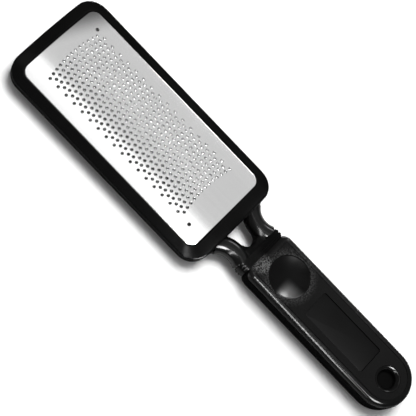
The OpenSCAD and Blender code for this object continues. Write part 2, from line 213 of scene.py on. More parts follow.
class Wire:
    """One socket of a finish's nodes, which maths can be written with."""

    def __init__(self, paint, socket):
        self.paint, self.socket = paint, socket

    def maths(self, operation, *others):
        """This socket and others through a Math node."""
        return self.paint.node("ShaderNodeMath", {"operation": operation}, [self, *others])

    def __add__(self, other):
        return self.maths("ADD", other)

    def __radd__(self, other):
        return self.maths("ADD", other)

    def __mul__(self, other):
        return self.maths("MULTIPLY", other)

    def __rmul__(self, other):
        return self.maths("MULTIPLY", other)

    def __sub__(self, other):
        return self.maths("SUBTRACT", other)

    def __rsub__(self, other):
        return self.paint.node("ShaderNodeMath", {"operation": "SUBTRACT"}, [other, self])

    def __truediv__(self, other):
        return self.maths("DIVIDE", other)

    def __pow__(self, other):
        return self.maths("POWER", other)

    def root(self):
        """The square root."""
        return self.maths("SQRT")

    def size(self):
        """The value without its sign."""
        return self.maths("ABSOLUTE")

    def ramp(self, start, end):
        """0 up to start, 1 from end, smooth between."""
        return self.paint.node("ShaderNodeMapRange", {"interpolation_type": "SMOOTHSTEP"},
                               {"Value": self, "From Min": start, "From Max": end})


class Paint:
    """A finish: a Principled shader and the nodes that vary it."""

    def __init__(self, name, **looks):
        self.material = bpy.data.materials.new(name + "_finish")
        self.material.use_nodes = True
        self.tree = self.material.node_tree
        self.shader = self.tree.nodes["Principled BSDF"]
        for key, value in looks.items():
            self.shader.inputs[key.replace("_", " ").title().replace("Ior", "IOR")].default_value = value
        self.place = self.node("ShaderNodeTexCoord", out="Object")

    def node(self, kind, settings=None, values=None, out=0):
        """Adds a node, its settings first, then the values or links of its sockets."""
        made = self.tree.nodes.new(kind)
        for key, value in (settings or {}).items():
            setattr(made, key, value)
        pairs = values.items() if isinstance(values, dict) else enumerate(values or [])
        for key, value in pairs:
            self.feed(made.inputs[key], value)
        return Wire(self, made.outputs[out])

    def feed(self, socket, value):
        """Links a wire to a socket, or sets the socket's value."""
        if isinstance(value, Wire):
            self.tree.links.new(value.socket, socket)
        else:
            socket.default_value = value

    def set(self, name, value):
        """Feeds a socket of the shader."""
        self.feed(self.shader.inputs[name], value)

    def xyz(self):
        """Where the surface is, in millimetres along x, y and z."""
        parts = self.node("ShaderNodeSeparateXYZ", None, [self.place])
        node = parts.socket.node
        return [Wire(self, node.outputs[i]) / MM for i in range(3)]

    def below_crown(self):
        """How deep the surface lies under the crown of the plate, in millimetres."""
        plate = sizes().plate
        x, _, z = self.xyz()
        face, radius = plate.face / MM, plate.crown / MM
        return (radius * radius - x * x).root() + (face - radius) - z

    def away(self, x0, y0):
        """How far the surface lies from a place on the file, in millimetres."""
        x, y, _ = self.xyz()
        return ((x - x0) ** 2 + (y - y0) ** 2).root()

    def grain(self, scale, detail, stretch=(1, 1, 1)):
        """Noise of that scale per metre, stretched along the axes."""
        where = self.node("ShaderNodeMapping", {"vector_type": "POINT"},
                          {"Vector": self.place, "Scale": stretch})
        return self.node("ShaderNodeTexNoise", None, {"Vector": where, "Scale": scale, "Detail": detail})

    def cells(self, scale):
        """Pebbles of that scale per metre."""
        return self.node("ShaderNodeTexVoronoi", None, {"Vector": self.place, "Scale": scale})

    def blend(self, factor, dark, light):
        """A colour between two, by a factor."""
        a, b = (colour if isinstance(colour, Wire) else (*colour, 1.0) for colour in (dark, light))
        return self.node("ShaderNodeMix", {"data_type": "RGBA"},
                         {"Factor": factor, MIX_A: a, MIX_B: b}, out=MIX_RESULT)

    def bump(self, height, depth, strength=1.0):
        """Relief of that depth in millimetres."""
        return self.node("ShaderNodeBump", None,
                         {"Height": height, "Distance": depth * MM, "Strength": strength})


def moulding(name, scale, kind, **looks):
    """A moulded finish whose tone varies as a faint cloud, and that cloud."""
    paint, tones = Paint(name, specular_ior_level=0.0, **looks), sizes().tones
    cloud = paint.grain(scale, 3)
    paint.set("Base Color", paint.blend(cloud, getattr(tones, kind + "_dark"), getattr(tones, kind)))
    return paint, cloud


def frame_plastic():
    """Hard black moulding, glossy, with a faint unevenness and fine handling marks."""
    paint, cloud = moulding("frame_plastic", 60, "plastic", coat_roughness=0.16)
    s, g = sizes().head, sizes().grip
    half, foot, top = s.width / 2 / MM, s.foot / MM, g.top / MM
    x, y, _ = paint.xyz()
    crest = paint.below_crown().ramp(2.2, 1.2)
    at_arms = (1 - y.ramp(foot - 4, foot + 4)) * y.ramp(top - 1, top + 1) * x.size().ramp(4, 8)
    at_right = x.ramp(half - 9, half - 4) * y.ramp(foot - 2, foot + 2)
    at_handle = 1 - y.ramp(top - 2, top)
    gloss = (0.03 + 0.05 * crest + 0.03 * cloud) * (1 - 0.93 * at_right - 0.75 * at_handle)
    marks = paint.grain(900, 2, (1, 0.15, 1)).ramp(0.58, 0.75)
    paint.set("Coat Weight", gloss + 0.45 * at_arms)
    paint.set("Roughness", 0.17 + 0.09 * cloud + 0.1 * marks)
    paint.set("Normal", paint.bump(paint.grain(420, 2), 0.01))
    return paint.material


def collar_plastic():
    """Hard black moulding, glossier on its left side."""
    paint, cloud = moulding("collar_plastic", 150, "plastic", coat_roughness=0.12)
    x, _, _ = paint.xyz()
    paint.set("Coat Weight", 0.03 + 0.2 * x.ramp(1, -4))
    paint.set("Roughness", 0.12 + 0.1 * cloud)
    return paint.material


def grip_rubber():
    """Soft black grip with the fine pebbled skin of its mould, worn along its edge and round the dish,
    where a painted sheen also lightens it.
    """
    paint = Paint("grip_rubber", specular_ior_level=0.0, coat_roughness=0.13)
    tones, g = sizes().tones, sizes().grip
    cloud, skin, pebble = paint.grain(45, 3), paint.grain(2600, 3), paint.cells(1700)
    x, y, _ = paint.xyz()
    half, bend = g.half / MM, g.front_round / MM
    out = x.size()
    on_edge = out.ramp(half - bend - 1, half - bend) * out.ramp(half - 0.1 * bend, half - 0.4 * bend)
    beads = paint.grain(700, 2).ramp(0.35, 0.65)
    fade = y.ramp(-110, -80)
    edge = on_edge * (0.4 + 0.6 * beads) * (0.25 + 0.75 * fade)
    lo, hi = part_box("thumb_dish")
    # Round the dish, and most above it to the left, wear makes the grip glossier and a painted sheen
    # lightens it
    ring = paint.away(0, (lo.y + hi.y) / 2 / MM).ramp(hi.x / MM + 5, hi.x / MM + 0.5)
    spot = paint.away(-6, hi.y / MM + 4).ramp(7, 2)
    wear_and_sheen = (ring * 0.3 + spot * 1.3) * paint.grain(1300, 3).ramp(0.36, 0.68)
    paint.set("Coat Weight", 0.08 + 0.5 * edge + 0.15 * skin + 0.4 * wear_and_sheen)
    shade = paint.blend(cloud * 0.6 + skin * 0.4, tones.rubber_dark, tones.rubber)
    # The painted sheen lightens the grip's colour there
    paint.set("Base Color", paint.blend(wear_and_sheen, shade, tones.wear_and_sheen))
    paint.set("Roughness", 0.48 + 0.18 * skin)
    paint.set("Normal", paint.bump(pebble + skin * 0.5, 0.09, 0.8))
    return paint.material


def dish_plastic():
    """Smooth black insert, glossy on its lower left side."""
    paint, cloud = moulding("dish_plastic", 90, "dish", coat_roughness=0.3, coat_ior=2.2)
    x, y, _ = paint.xyz()
    lo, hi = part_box("thumb_dish")
    middle = (lo.y + hi.y) / 2 / MM
    paint.set("Coat Weight", 0.01 + 0.99 * x.ramp(1, -6) * y.ramp(middle + 1, middle - 5))
    paint.set("Roughness", 0.3 + 0.12 * cloud)
    paint.set("Normal", paint.bump(paint.grain(1500, 2), 0.004))
    return paint.material


def panel_plastic():
    """Smooth black insert, nearly matt."""
    paint, cloud = moulding("panel_plastic", 70, "plastic", coat_weight=0.15, coat_roughness=0.35)
    paint.set("Roughness", 0.36 + 0.14 * cloud)
    paint.set("Normal", paint.bump(paint.grain(1900, 2), 0.006))
    return paint.material


def bush_plastic():
    """Hard black moulding, glossy all over."""
    paint, cloud = moulding("bush_plastic", 200, "plastic", coat_weight=0.4, coat_roughness=0.15)
    paint.set("Roughness", 0.16 + 0.1 * cloud)
    return paint.material


def etched_steel():
    """Bright stainless sheet, faintly grained along its length, with painted shade that makes it duller
    towards the tip's right side.
    """
    paint = Paint("etched_steel", metallic=1.0)
    s, tones = sizes().head, sizes().tones
    grain, cloud = paint.grain(900, 3, (1, 0.03, 1)), paint.grain(40, 2)
    x, y, _ = paint.xyz()
    # Painted shade: the steel darkens towards its right corner at the tip
    across, along = x / 26, (y - (s.tip - s.tip_bar) / MM) / 12
    corner_shade = (across + along + 0.2 * cloud).ramp(-0.3, 1.0)
    shade = paint.blend(grain * 0.5 + cloud * 0.5, tones.steel_dark, tones.steel)
    paint.set("Base Color", paint.blend(corner_shade, shade, tones.shaded_steel))
    paint.set("Roughness", 0.13 + 0.06 * grain)
    paint.set("Normal", paint.bump(grain, 0.003))
    return paint.material


def tooth_steel():
    """The raised lips, in painted light and shade: dark at the foot and down into the hole, lighter at
    the rim, brighter towards the right.
    """
    paint, tones = Paint("tooth_steel", metallic=1.0), sizes().tones
    grain = paint.grain(2500, 2)
    x, _, _ = paint.xyz()
    # Painted shade: the foot of each lip and its hole are darker than its rim
    edge = (0.3 * grain - paint.below_crown() / (sizes().plate.lip / MM)).ramp(0.75, 1.05)
    # Painted light: both tones brighten from left to right
    foot = paint.blend(x.ramp(-14, 5), tones.tooth_foot_dark, tones.tooth_foot)
    rim = paint.blend(x.ramp(-16, -2), tones.tooth_rim_dark, tones.tooth_rim)
    paint.set("Base Color", paint.blend(edge, foot, rim))
    paint.set("Roughness", 0.18 + 0.14 * grain)
    return paint.material


FINISHES = {make.__name__: make for make in (
    frame_plastic, collar_plastic, grip_rubber, dish_plastic, panel_plastic, bush_plastic,
    etched_steel, tooth_steel)}


def finish_of(name):
    """The finish of that name, made once."""
    return bpy.data.materials.get(name + "_finish") or FINISHES[name]()


# Stage, in metres and watts, with the camera as it was fitted to the photograph
CAMERA_PLACE = (-0.2426, 0.0285, 0.6186)
CAMERA_RIGHT = (0.66397, -0.69253, 0.28217)
CAMERA_UP = (0.65257, 0.72086, 0.23365)
CAMERA_BACK = (-0.36519, 0.02900, 0.93048)
SENSOR, LENS = 36, 112.6  # in millimetres
FLOOR_SIDE = 6
SKY_STRENGTH = 0.22


def lamp(name, place, aim, width, height, power):
    """A flat lamp at a place, turned to what it aims at."""
    bpy.ops.object.light_add(type="AREA", location=place)
    made = bpy.context.object
    made.name = name
    made.data.energy = power
    made.data.shape = "RECTANGLE"
    made.data.size = width
    made.data.size_y = height
    made.rotation_euler = (Vector(aim) - Vector(place)).to_track_quat("-Z", "Y").to_euler()
    return made


class FOOTFILE_OT_stage(bpy.types.Operator):
    """Pale floor, soft studio light and the camera of the photograph"""

    bl_idname = "footfile.stage"
    bl_label = "Stage"

    def execute(self, context):
        bpy.ops.object.select_all(action="DESELECT")
        bpy.ops.mesh.primitive_plane_add(size=FLOOR_SIDE, location=MIDDLE)
        floor = context.object
        floor.name = "floor"
        paint = Paint("floor_pale", base_color=(*sizes().tones.floor, 1), roughness=0.9,
                      specular_ior_level=0.1)
        floor.data.materials.append(paint.material)

        world = bpy.data.worlds.new("studio")
        context.scene.world = world
        world.use_nodes = True
        sky = world.node_tree.nodes["Background"].inputs
        sky["Color"].default_value = (1, 1, 1, 1)
        sky["Strength"].default_value = SKY_STRENGTH

        # The last three light only what shines, and the key only what doesn't
        lamp("overhead", (-0.007, 0, 0.9), (-0.007, 0, 0), 0.226, 1.2, 0.9)
        lamp("softbox", (0.46, 0, 0.76), (0.02, 0, 0), 0.74, 1.0, 1.12)
        lamp("key", (0.25, 0.1, 0.85), MIDDLE, 0.4, 0.4, 9).visible_glossy = False
        for name, spot, width, height, power in (("dish_light", (0.8, 0.05, 0.42), 0.2, 0.2, 1.1),
                                                 ("left_strip", (-0.6, -0.2, 0.74), 0.08, 1.0, 7),
                                                 ("arm_light", (-0.3, -0.47, 0.68), 0.34, 0.34, 22)):
            lamp(name, spot, MIDDLE, width, height, power).visible_diffuse = False

        bpy.ops.object.camera_add(location=CAMERA_PLACE)
        camera = context.object
        camera.name = "camera"
        turn = Matrix((CAMERA_RIGHT, CAMERA_UP, CAMERA_BACK)).transposed()
        camera.rotation_euler = turn.to_euler()
        camera.data.sensor_width = SENSOR
        camera.data.lens = LENS
        camera.data.clip_start = 0.01
        context.scene.camera = camera
        context.scene.view_settings.view_transform = "Standard"
        return {"FINISHED"}


# Modelling
MERGE = 0.004 * MM  # points of a finished piece that are closer are one
CORNER_MERGE = 0.01 * MM  # points of a rounded outline that are closer are one
COPY_MERGE = 0.002 * MM  # corners of a solid's loose triangles that are closer are one
NEARLY = 0.9999  # share of a full round that keeps its two ends apart while it is made


def put_down():
    """Leaves edit mode and selects nothing."""
    if bpy.context.object and bpy.context.object.mode != "OBJECT":
        bpy.ops.object.mode_set(mode="OBJECT")
    bpy.ops.object.select_all(action="DESELECT")


def only(piece):
    """Makes a piece the only one selected."""
    put_down()
    piece.select_set(True)
    bpy.context.view_layer.objects.active = piece


def opened(piece):
    """Opens a piece alone in edit mode, all of it selected."""
    only(piece)
    bpy.ops.object.mode_set(mode="EDIT")
    bpy.ops.mesh.select_all(action="SELECT")


def begin(add, name, **where):
    """Adds a primitive with nothing else selected, names it and opens it."""
    put_down()
    add(**where)
    piece = bpy.context.object
    piece.name = piece.data.name = name
    bpy.ops.object.transform_apply(location=True, rotation=True, scale=True)
    bpy.ops.object.mode_set(mode="EDIT")
    return piece


def pick(kind, test):
    """Selects the vertices, edges or faces of the open piece that pass a test."""
    bpy.ops.mesh.select_mode(type=kind)
    bpy.ops.mesh.select_all(action="DESELECT")
    form = bmesh.from_edit_mesh(bpy.context.object.data)
    for part in {"VERT": form.verts, "EDGE": form.edges, "FACE": form.faces}[kind]:
        if test(part):
            part.select_set(True)
    form.select_flush_mode()
    bmesh.update_edit_mesh(bpy.context.object.data)


def pick_all(kind):
    """Selects all of the open piece, by vertices, edges or faces."""
    bpy.ops.mesh.select_mode(type=kind)
    bpy.ops.mesh.select_all(action="SELECT")


def raise_by(height):
    """Extrudes what is selected straight up."""
    bpy.ops.mesh.extrude_region_move(TRANSFORM_OT_translate={"value": (0, 0, height)})


def smooth(piece, angle):
    """Shades a piece smooth where its faces meet at less than that angle."""
    only(piece)
    bpy.ops.object.shade_smooth_by_angle(angle=math.radians(angle))


def closed(piece):
    """Merges the open piece's doubles, turns its faces outwards, closes it and shades it."""
    bpy.ops.mesh.select_all(action="SELECT")
    bpy.ops.mesh.remove_doubles(threshold=MERGE)
    bpy.ops.mesh.normals_make_consistent(inside=False)
    smooth(piece, 35)
    return piece


def modify(piece, kind, **settings):
    """Adds a modifier and applies it."""
    only(piece)
    made = piece.modifiers.new(kind.lower(), kind)
    for key, value in settings.items():
        setattr(made, key, value)
    bpy.ops.object.modifier_apply(modifier=made.name)


def cut_out(piece, cutter):
    """Takes a cutter's shape out of a piece."""
    modify(piece, "BOOLEAN", operation="DIFFERENCE", object=cutter, solver="EXACT")
    bpy.data.objects.remove(cutter)


def together(pieces):
    """Joins pieces into the first."""
    only(pieces[0])
    for piece in pieces[1:]:
        piece.select_set(True)
    bpy.ops.object.join()
    return pieces[0]


def twin(piece, name):
    """A copy of a piece with its own mesh."""
    copy = piece.copy()
    copy.data = piece.data.copy()
    copy.name = copy.data.name = name
    bpy.context.collection.objects.link(copy)
    return copy


def shaped(piece, rule):
    """Moves every vertex by a rule on its place."""
    for vertex in piece.data.vertices:
        vertex.co = rule(vertex.co.copy())
    piece.data.update()


def outline(name, half, y0, y1, z, r0, r1, segments):
    """A flat face with round corners: r0 at its low end, r1 at its high end."""
    piece = begin(bpy.ops.mesh.primitive_plane_add, name, size=2, location=MIDDLE)
    bpy.ops.transform.resize(value=(half, (y1 - y0) / 2, 1))
    bpy.ops.transform.translate(value=(0, (y0 + y1) / 2, z))
    for radius, side in ((r0, -1), (r1, 1)):
        pick("VERT", lambda v: side * (v.co.y - (y0 + y1) / 2) > 0)
        bpy.ops.mesh.bevel(offset=radius * NEARLY, offset_type="OFFSET", segments=segments,
                           affect="VERTICES", profile=0.5)
    bpy.ops.mesh.select_all(action="SELECT")
    bpy.ops.mesh.remove_doubles(threshold=CORNER_MERGE)
    pick_all("FACE")
    return piece


def grow(steps):
    """Raises the selected face by steps of an inset and a rise, as a profile."""
    for inset, rise in steps:
        if inset == 0:
            raise_by(rise)
        else:
            bpy.ops.mesh.inset(thickness=inset, depth=0, use_outset=False)
            bpy.ops.transform.translate(value=(0, 0, rise))


def rounding(radius, steps=6, up=1):
    """Insets and rises of a quarter round that ends flat."""
    turn = [math.pi / 2 * i / steps for i in range(steps + 1)]
    return [(radius * (math.cos(a) - math.cos(b)), up * radius * (math.sin(b) - math.sin(a)))
            for a, b in zip(turn, turn[1:])]


def turned(name, points, y, steps):
    """A closed ring turned about an upright axis on the middle line, from points (radius, height)."""
    piece = begin(bpy.ops.mesh.primitive_plane_add, name, size=2 * MM, location=MIDDLE)
    # One corner of the plane is left, and goes to the first point
    pick("VERT", lambda v: not (v.co.x > 0 and v.co.y > 0))
    bpy.ops.mesh.delete(type="VERT")
    pick_all("VERT")
    corner, start = Vector((MM, MM, 0)), Vector((points[0][0], y, points[0][1]))
    bpy.ops.transform.translate(value=start - corner)
    for (ra, za), (rb, zb) in zip(points, points[1:]):
        bpy.ops.mesh.extrude_region_move(TRANSFORM_OT_translate={"value": (rb - ra, 0, zb - za)})
    bpy.ops.mesh.select_all(action="SELECT")
    bpy.ops.mesh.spin(steps=steps, angle=2 * math.pi, center=(0, y, 0), axis=(0, 0, 1))
    return closed(piece)


def arc(r0, z0, r1, z1, bulge, steps=8):
    """Points from one (radius, height) to another, bowed sideways by that much."""
    a, b = Vector((r0, z0)), Vector((r1, z1))
    side = Vector((-(b - a).y, (b - a).x)).normalized()
    return [tuple(a.lerp(b, t / steps) + side * bulge * 4 * (t / steps) * (1 - t / steps))
            for t in range(steps + 1)]


def done(piece, node, finish):
    """The piece stands for the solid, takes its finish and rides with it."""
    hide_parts(node)
    piece.data.materials.clear()
    piece.data.materials.append(finish_of(finish))
    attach(piece, "root")


# The head and the neck
def crown(x):
    """Height of the crown at a place across the file."""
    plate = sizes().plate
    return plate.face - plate.crown + math.sqrt(plate.crown ** 2 - x * x)


def on_rim(co):
    """Whether a place lies on the head's outer outline."""
    s, near = sizes().head, 0.05 * MM
    x = abs(co.x) - (s.width / 2 - s.corner)
    y = abs(co.y - (s.tip + s.foot) / 2) - ((s.tip - s.foot) / 2 - s.corner)
    far = math.hypot(x, y) if x > 0 and y > 0 else max(x, y)
    return abs(far - s.corner) < near


def ring_half(name, up):
    """Half of the head's ring: an outline with its middle taken out, raised to the bezel.

    While its faces are made, each loop stands one mark over the last, and each storey one rise, so
    that a point's height tells what it belongs to."""
    s, plate = sizes().head, sizes().plate
    mid, reach = (s.tip + s.foot) / 2, (s.tip - s.foot) / 3
    mark, rise, lip = 0.1 * MM, MM, 0.2 * MM
    # Only the middle face has more points, and an edge to round turns more and climbs less
    middle_points, rim_turn, steep = 20, 0.9, 0.5 * MM
    piece = outline(name, s.width / 2, s.foot, s.tip, 0, s.corner, s.corner, 14)
    for axis in (0, 1):
        pick("EDGE", lambda e: abs((e.verts[0].co - e.verts[1].co)[axis]) > s.width / 3)
        bpy.ops.mesh.subdivide(number_cuts=15)
        pick_all("FACE")
        bpy.ops.mesh.dissolve_faces(use_verts=False)
    bpy.ops.mesh.select_all(action="SELECT")
    bpy.ops.mesh.inset(thickness=s.bezel, depth=0)
    bpy.ops.transform.translate(value=(0, 0, mark))
    for side, more in ((1, s.bezel - s.tip_bar), (-1, s.foot_bar - s.bezel)):
        pick("VERT", lambda v: v.co.z > mark / 2 and side * (v.co.y - mid) > reach)
        bpy.ops.transform.translate(value=(0, more, 0))
    pick("FACE", lambda f: len(f.verts) > middle_points)
    bpy.ops.mesh.inset(thickness=s.ledge, depth=0)
    bpy.ops.transform.translate(value=(0, 0, mark))
    pick("FACE", lambda f: len(f.verts) > middle_points)
    bpy.ops.mesh.delete(type="ONLY_FACE")
    bpy.ops.mesh.select_all(action="SELECT")
    raise_by(rise)
    if up > 0:
        pick("FACE", lambda f: all(0.9 * rise < v.co.z < rise + 1.5 * mark for v in f.verts))
        raise_by(rise)
    bpy.ops.object.mode_set(mode="OBJECT")

    def lift(co):
        storey, loop = divmod(round(co.z / mark), round(rise / mark))
        if storey == 0:
            co.z = s.parting
        elif up < 0:
            co.z = s.bottom
        elif storey == 1 and loop > 0:
            co.z = crown(co.x) - plate.fold
        else:
            co.z = crown(co.x) + (lip if loop else -s.shoulder_drop)
        return co

    shaped(piece, lift)
    opened(piece)
    bpy.ops.mesh.normals_make_consistent(inside=False)
    pick("EDGE", lambda e: len(e.link_faces) == 2 and e.calc_face_angle(0) > rim_turn and
         all(on_rim(v.co) and (v.co.z - s.parting) * up > MM for v in e.verts) and
         abs(e.verts[0].co.z - e.verts[1].co.z) < steep)
    bpy.ops.mesh.bevel(offset=s.shoulder if up > 0 else s.back_shoulder, segments=6, affect="EDGES",
                       profile=0.5)
    return closed(piece)


def neck(y0, y1):
    """The neck between two places, taken from copies of the frame's solids and made slimmer."""
    s, copies = sizes().head, []
    for node in ("front_frame", "back_frame"):
        copy = twin(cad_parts[node], f"neck_{node}")
        copy.parent = None
        copy.hide_render = False
        copy.hide_set(False)
        copy.data.materials.clear()
        copies.append(copy)
        opened(copy)
        bpy.ops.mesh.remove_doubles(threshold=COPY_MERGE)
        for y, side in ((y0, -1), (y1, 1)):
            bpy.ops.mesh.select_all(action="SELECT")
            bpy.ops.mesh.bisect(plane_co=(0, y, 0), plane_no=(0, side, 0), use_fill=True,
                                clear_outer=True)
        bpy.ops.mesh.select_all(action="SELECT")
        bpy.ops.transform.resize(value=(1, 1, s.slim), center_override=(0, 0, s.parting))
    return together(copies)


def arm(name, side):
    """One rounded arm: a round bar swept about the hollow beside it, from the head to the collar."""
    s, steps, root = sizes().head, 48, 0.5 * MM
    turn_from, turn_to = math.radians(126), math.radians(208)
    bar = begin(bpy.ops.mesh.primitive_circle_add, name, vertices=48, radius=1, fill_type="NGON",
                location=MIDDLE)
    bpy.ops.mesh.select_all(action="SELECT")
    for _ in range(steps):
        raise_by(1 / steps)
    bpy.ops.object.mode_set(mode="OBJECT")

    def sweep(co):
        turn = turn_from + (turn_to - turn_from) * co.z
        head_rise = s.rise if co.y > 0 else s.parting - s.bottom
        rise = head_rise + (s.rise - head_rise) * co.z
        out = s.hollow + s.arm - (s.arm + s.proud) * co.x
        return Vector((side * (s.waist + s.hollow + out * math.cos(turn)),
                       s.foot + root - s.hollow + out * math.sin(turn),
                       s.parting + (rise + s.proud) * co.y))

    shaped(bar, sweep)
    opened(bar)
    return closed(bar)


def head_and_neck():
    """Both rings and the neck as one skin, smoothed most where the neck runs into the head."""
    s, g = sizes().head, sizes().grip
    in_grip, in_head = 2 * MM, 5 * MM
    soft_from, soft_to, corners = g.top - MM, s.foot + 1.5 * MM, 0.7 * s.width / 2
    whole = together([ring_half("whole", 1), ring_half("back_ring", -1),
                      neck(g.top - in_grip, s.foot + in_head)])
    modify(whole, "REMESH", mode="VOXEL", voxel_size=s.voxel)
    modify(whole, "SMOOTH", factor=0.5, iterations=6)
    opened(whole)
    pick("VERT", lambda v: soft_from < v.co.y < soft_to and
         not (v.co.y > s.foot - MM and abs(v.co.x) > corners))
    bpy.ops.mesh.vertices_smooth(factor=0.5, repeat=14)
    bpy.ops.object.mode_set(mode="OBJECT")
    return whole


def band(name, seat, up):
    """Half of the hard band round the handle, from the parting to a grip's seat, its edge eased."""
    s, g = sizes().head, sizes().grip
    start, ease, inner = 0.01 * MM, 0.5 * MM, 0.6 * MM
    piece = outline(name, g.band, g.end, g.top, s.parting, g.band, g.corner, 24)
    grow([(0, up * start), (0, seat - s.parting - up * (ease + start))] + rounding(ease, 3, up) +
         [(inner, 0)])
    return closed(piece)


class FOOTFILE_OT_frame(bpy.types.Operator):
    """Both halves of the moulded frame: the head's ring, the arms, the neck and the band of the handle"""

    bl_idname = "footfile.frame"
    bl_label = "Frame"

    def execute(self, context):
        s, g = sizes().head, sizes().grip
        faces = (("front", g.front_seat, 1), ("back", g.back_seat, -1))
        whole = head_and_neck()
        for face, _, up in faces:
            parts = [twin(whole, face + "_moulding"), arm("left_arm", -1), arm("right_arm", 1)]
            for part in parts:
                opened(part)
                bpy.ops.mesh.bisect(plane_co=(0, 0, s.parting), plane_no=(0, 0, up), use_fill=True,
                                    clear_inner=True)
            half = together(parts)
            smooth(half, 40)
            done(half, face + "_frame", "frame_plastic")
        bpy.data.objects.remove(whole)
        for face, seat, up in faces:
            done(band(face + "_band", seat, up), face + "_frame", "frame_plastic")
        return {"FINISHED"}


# The rasp plate
def plate_sides():
    """Half the plate's width, and where its lower and upper ends lie."""
    p, s = sizes().plate, sizes().head
    return s.width / 2 - s.bezel - p.gap, s.foot + s.foot_bar + p.gap, s.tip - s.tip_bar - p.gap


def tooth_places():
    """Where each tooth stands: bowed rows, set over in turn."""
    p = sizes().plate
    half, y0, y1 = plate_sides()
    step = p.teeth_share * 2 * half / (p.row_teeth - 1)
    row_step = p.rows_share * (y1 - y0) / (p.rows - 1)
    start = (y0 + y1) / 2 + p.shift_share * (y1 - y0)
    for i in range(p.rows):
        for k in range(p.row_teeth):
            x = step * (k - (p.row_teeth - 1) / 2 + p.stagger * (1 if i % 2 == 0 else -1))
            yield x, start + row_step * (i - (p.rows - 1) / 2) - x * x / (2 * p.bow)


def jig_places():
    """Where the two location holes lie, in opposite corners."""
    p = sizes().plate
    half, y0, y1 = plate_sides()
    for side in (-1, 1):
        yield side * (half - p.jig_side), (y0 + y1) / 2 + side * ((y1 - y0) / 2 - p.jig_end)


def many(pattern, places, name):
    """Copies of a piece at places, each with its own mesh, joined."""
    copies = []
    for x, y in places:
        copy = twin(pattern, name)
        for vertex in copy.data.vertices:
            vertex.co += Vector((x, y, 0))
        copies.append(copy)
    bpy.data.objects.remove(pattern)
    return together(copies)


def drill(sheet, radius, places, sides):
    """Drills round holes through the flat sheet."""
    through = 4 * MM
    bit = begin(bpy.ops.mesh.primitive_cylinder_add, "drill", vertices=sides, radius=radius,
                depth=through, location=MIDDLE)
    cut_out(sheet, many(closed(bit), places, "drills"))


def in_strips(half, strips=26):
    """Cuts the open piece into strips along the file, so that it can follow the crown."""
    for i in range(1, strips):
        bpy.ops.mesh.select_all(action="SELECT")
        bpy.ops.mesh.bisect(plane_co=(half * (2 * i / strips - 1), 0, 0), plane_no=(1, 0, 0))


def on_crown(piece, angle, finish):
    """Lays a flat piece over the crown, shades it and lets it stand for the plate."""
    shaped(piece, lambda co: Vector((co.x, co.y, co.z + crown(co.x))))
    smooth(piece, angle)
    done(piece, "rasp_plate", finish)


class FOOTFILE_OT_plate(bpy.types.Operator):
    """The crowned steel plate with its folded edge, its etched holes and the lips of its teeth"""

    bl_idname = "footfile.plate"
    bl_label = "Rasp plate"

    def execute(self, context):
        p, rim = sizes().plate, 0.2 * MM
        half, y0, y1 = plate_sides()
        sheet = outline("rasp_sheet", half, y0, y1, -p.fold, p.corner, p.corner, 12)
        grow([(0, p.fold - p.bend)] + rounding(p.bend, 4) + [(rim, 0)])
        in_strips(half)
        closed(sheet)
        hollow = outline("hollow", half - p.sheet, y0 + p.sheet, y1 - p.sheet, -p.fold - MM,
                         p.corner - p.sheet, p.corner - p.sheet, 12)
        grow([(0, p.fold + MM - p.sheet)])
        in_strips(half)
        cut_out(sheet, closed(hollow))
        drill(sheet, p.hole, tooth_places(), 12)
        drill(sheet, p.jig_hole, jig_places(), 24)
        on_crown(sheet, 30, "etched_steel")

        # A lip's section: up its outside, over its rim and down into the hole
        h, r = p.lip, p.hole
        lip = [(r + 0.38 * MM, -0.02 * MM), (r + 0.28 * MM, 0.35 * h), (r + 0.18 * MM, 0.84 * h),
               (r + 0.09 * MM, h), (r, 0.88 * h), (r - 0.03 * MM, -0.1 * MM), (0.25 * r, -0.5 * MM)]
        teeth = many(turned("tooth", lip, 0, 10), tooth_places(), "rasp_teeth")
        on_crown(teeth, 40, "tooth_steel")
        return {"FINISHED"}


# The handle
def grip(name, seat, face, radius, up):
    """A grip: a round-ended outline raised from its seat to a rounded edge and a flat face."""
    g, spare = sizes().grip, 1.4 * MM
    piece = outline(name, g.half, g.end + (g.band - g.half), g.top, seat, g.half,
                    max(g.corner, radius + spare), 24)
    grow([(0, face - seat - up * radius)] + rounding(radius, 8, up))
    return piece


def pin(radius, y, z0, z1):
    """A cutter for a round pocket on the middle line."""
    return closed(begin(bpy.ops.mesh.primitive_cylinder_add, "pocket", vertices=64, radius=radius,
                        depth=z1 - z0, location=(0, y, (z0 + z1) / 2)))


def panel_pocket():
    """A cutter for the panel's pocket, which fits it with play."""
    g = sizes().grip
    lo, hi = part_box("blank_panel")
    corner = g.panel_corner + g.play
    pocket = outline("pocket", hi.x + g.play, lo.y - g.play, hi.y + g.play, lo.z, corner, corner, 6)
    grow([(0, g.thick + MM - lo.z)])
    return closed(pocket)


